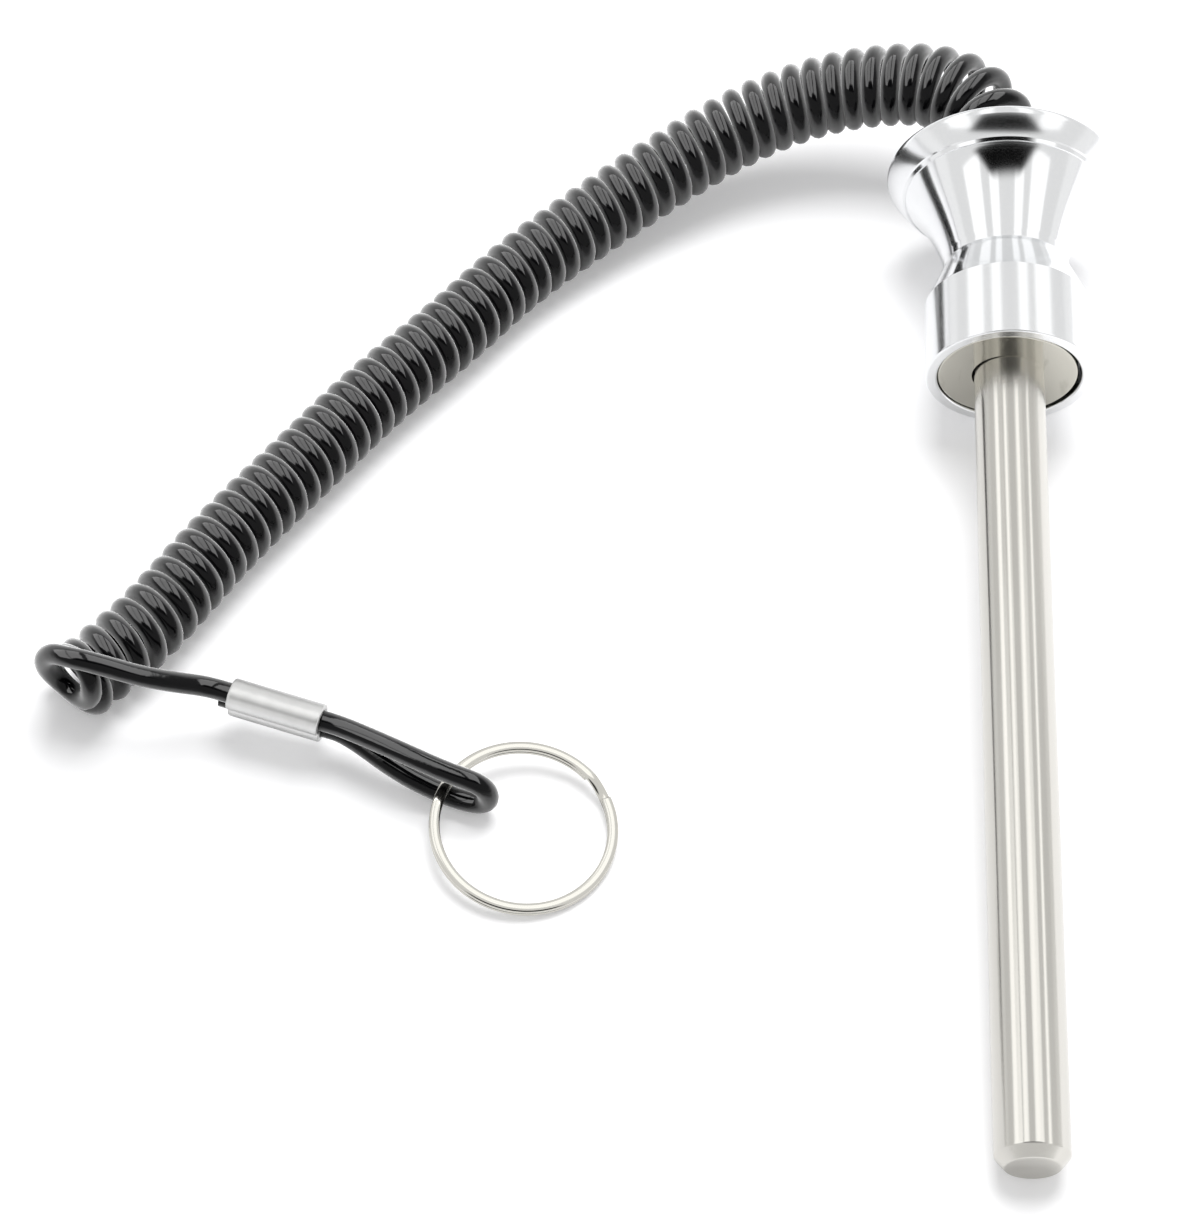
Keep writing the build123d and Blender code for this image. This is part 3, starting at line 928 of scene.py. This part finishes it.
# %% World
TENT = 0.8
WALL = 0.92
WALL_FROM = (radians(74.0), radians(79.0))
WORLD_FILL = 0.55
world = bpy.data.worlds.new("light tent")
scene.world = world
world.use_nodes = True
tree = world.node_tree
tree.nodes.clear()
direction = node("ShaderNodeSeparateXYZ", node("ShaderNodeTexCoord").outputs["Generated"])
about_y = maths("ARCTAN2", direction.outputs["X"], direction.outputs["Z"])
low_down = ranged(maths("ABSOLUTE", about_y), *WALL_FROM, 0.0, 1.0)
walls = blend(low_down, TENT, WALL)
rays = node("ShaderNodeLightPath")
strength = WORLD_FILL
for kind, seen in (("Is Glossy Ray", walls), ("Is Camera Ray", 1.0)):
    choice = node("ShaderNodeMix", rays.outputs[kind], None, strength, seen, data_type="FLOAT")
    strength = choice.outputs["Result"]
sky = node("ShaderNodeBackground", (1, 1, 1, 1), strength)
node("ShaderNodeOutputWorld", sky.outputs[0])
print("tent", TENT, "and its wall", WALL)

# %% [markdown]
# The one dark thing in the tent is whoever holds the camera. A black card stands for them, just
# above the camera, and fades out towards its edges. Only mirror rays see it, so it throws no shadow.

# %% Dark card
CARD_HEIGHT = 0.5
CARD_CENTRE = -0.02
CARD_FAR = -0.48
CARD_NEAR = -0.10
HALF_WIDTH_FAR = 0.53
HALF_WIDTH_NEAR = 0.14
card_corners = [
    (CARD_CENTRE - HALF_WIDTH_FAR, CARD_FAR), (CARD_CENTRE - HALF_WIDTH_NEAR, CARD_NEAR),
    (CARD_CENTRE + HALF_WIDTH_NEAR, CARD_NEAR), (CARD_CENTRE + HALF_WIDTH_FAR, CARD_FAR),
]
card = plate("dark_card", card_corners, CARD_HEIGHT)
dark, tree, shader = finish("black card", (0.0, 0.0, 0.0), metallic=0.0, roughness=1.0, specular=0.0)
spot = node("ShaderNodeSeparateXYZ", node("ShaderNodeTexCoord").outputs["Object"])
width = node("ShaderNodeMapRange", spot.outputs["Y"], CARD_FAR, CARD_NEAR, HALF_WIDTH_FAR, HALF_WIDTH_NEAR)
off_centre = maths("ABSOLUTE", maths("SUBTRACT", spot.outputs["X"], CARD_CENTRE))
sides = ranged(maths("DIVIDE", off_centre, width.outputs["Result"]), 0.7, 1.0, 1.0, 0.0)
far_fade = ranged(spot.outputs["Y"], CARD_FAR, -0.42, 0.2, 1.0)
near_fade = ranged(spot.outputs["Y"], -0.22, -0.12, 1.0, 0.0)
feed("Alpha", maths("MULTIPLY", maths("MULTIPLY", sides, far_fade), near_fade))
dress(card, dark)
card.visible_camera = card.visible_diffuse = card.visible_shadow = card.visible_transmission = False

# %% [markdown]
# The soft shadows come from one big lamp that hangs behind the knob. A sun would throw sharp ones. It
# is kept out of mirror rays, because the metal shows lamps of its own, which come after it.

# %% Soft lamp
SOFTBOX_AT = np.array([0.045, 0.33, 0.84])
SOFTBOX_SIZE = 0.55
SOFTBOX_WATTS = 7.0
lamp_data = bpy.data.lights.new("softbox", "AREA")
lamp_data.shape = "SQUARE"
lamp_data.size = SOFTBOX_SIZE
lamp_data.energy = SOFTBOX_WATTS
lamp = bpy.data.objects.new("softbox", lamp_data)
scene.collection.objects.link(lamp)
lamp.matrix_world = looking(SOFTBOX_AT, np.zeros(3)).T
lamp.visible_glossy = False
print("softbox hangs", SOFTBOX_AT[2], "m above the bench")

# %% [markdown]
# What the pieces mirror are long roof lamps that run from front to back. Bright lamps that suit the
# black cord would drown the metal, so each material has a row of its own. Light linking keeps a row
# off everything else: its receiver collection holds only the pieces that it lights. A lamp's edges
# are given as angles about the Y axis from straight up, so its edge lies at the roof's height times
# the tangent of that angle. The shaft's lamps are wider in the near half of the roof, which its tip
# mirrors. `NEAR`, `MIDDLE` and `FAR` are where rows begin and end, in metres along Y.

# %% Roof lamps
ROOF_HEIGHT = 0.8
NEAR = -0.7
MIDDLE = 0.37
FAR = 1.7
CORD_LAMPS = [(-62.0, -35.0), (-32.5, -6.0), (1.5, 33.0)]
METAL_LAMPS = [(-58.0, -36.0), (-25.0, -12.5), (9.5, 22.0), (31.5, 54.0)]
NICKEL_LAMPS = [(-28.0, -10.0), (-5.0, 21.0)]
NEAR_SHAFT_LAMPS = [(-58.0, -31.0), (-27.5, -13.0), (5.0, 29.5), (43.0, 54.0)]
FAR_SHAFT_LAMPS = [(-56.0, -44.0), (-26.5, -18.5), (10.0, 20.0), (45.5, 52.5)]


def light_row(name, receivers, edges, reach, glow):
    """Row of roof lamps with radiance `glow` that light only `receivers`. A lamp's power is its
    radiance times pi times its area."""
    group = bpy.data.collections.new(name)
    for piece in receivers:
        group.objects.link(piece)
    for number, (low, high) in enumerate(edges):
        left = ROOF_HEIGHT * tan(radians(low))
        right = ROOF_HEIGHT * tan(radians(high))
        data = bpy.data.lights.new(f"{name}_{number}", "AREA")
        data.shape = "RECTANGLE"
        data.size = right - left
        data.size_y = reach[1] - reach[0]
        data.energy = glow * pi * data.size * data.size_y
        panel = bpy.data.objects.new(f"{name}_{number}", data)
        scene.collection.objects.link(panel)
        panel.location = ((left + right) / 2, (reach[0] + reach[1]) / 2, ROOF_HEIGHT)
        panel.light_linking.receiver_collection = group
        panel.visible_camera = False
    print(name, "lights", [piece.name for piece in receivers])


light_row("cord_lamps", [cord], CORD_LAMPS, reach=(NEAR, 0.9), glow=10.0)
light_row("metal_lamps", [knob, magnet], METAL_LAMPS, reach=(NEAR, FAR), glow=0.4)
light_row("nickel_lamps", [ring, sleeve], NICKEL_LAMPS, reach=(0.1, 0.62), glow=0.55)
light_row("near_shaft_lamps", [shaft], NEAR_SHAFT_LAMPS, reach=(NEAR, MIDDLE), glow=0.75)
light_row("far_shaft_lamps", [shaft], FAR_SHAFT_LAMPS, reach=(MIDDLE, FAR), glow=0.8)

# %% [markdown]
# ## Finish
#
# The dressed pieces have to fill the same room as the CAD model. The last line brings the view layer up to
# date.

# %% Finish
bpy.context.view_layer.update()
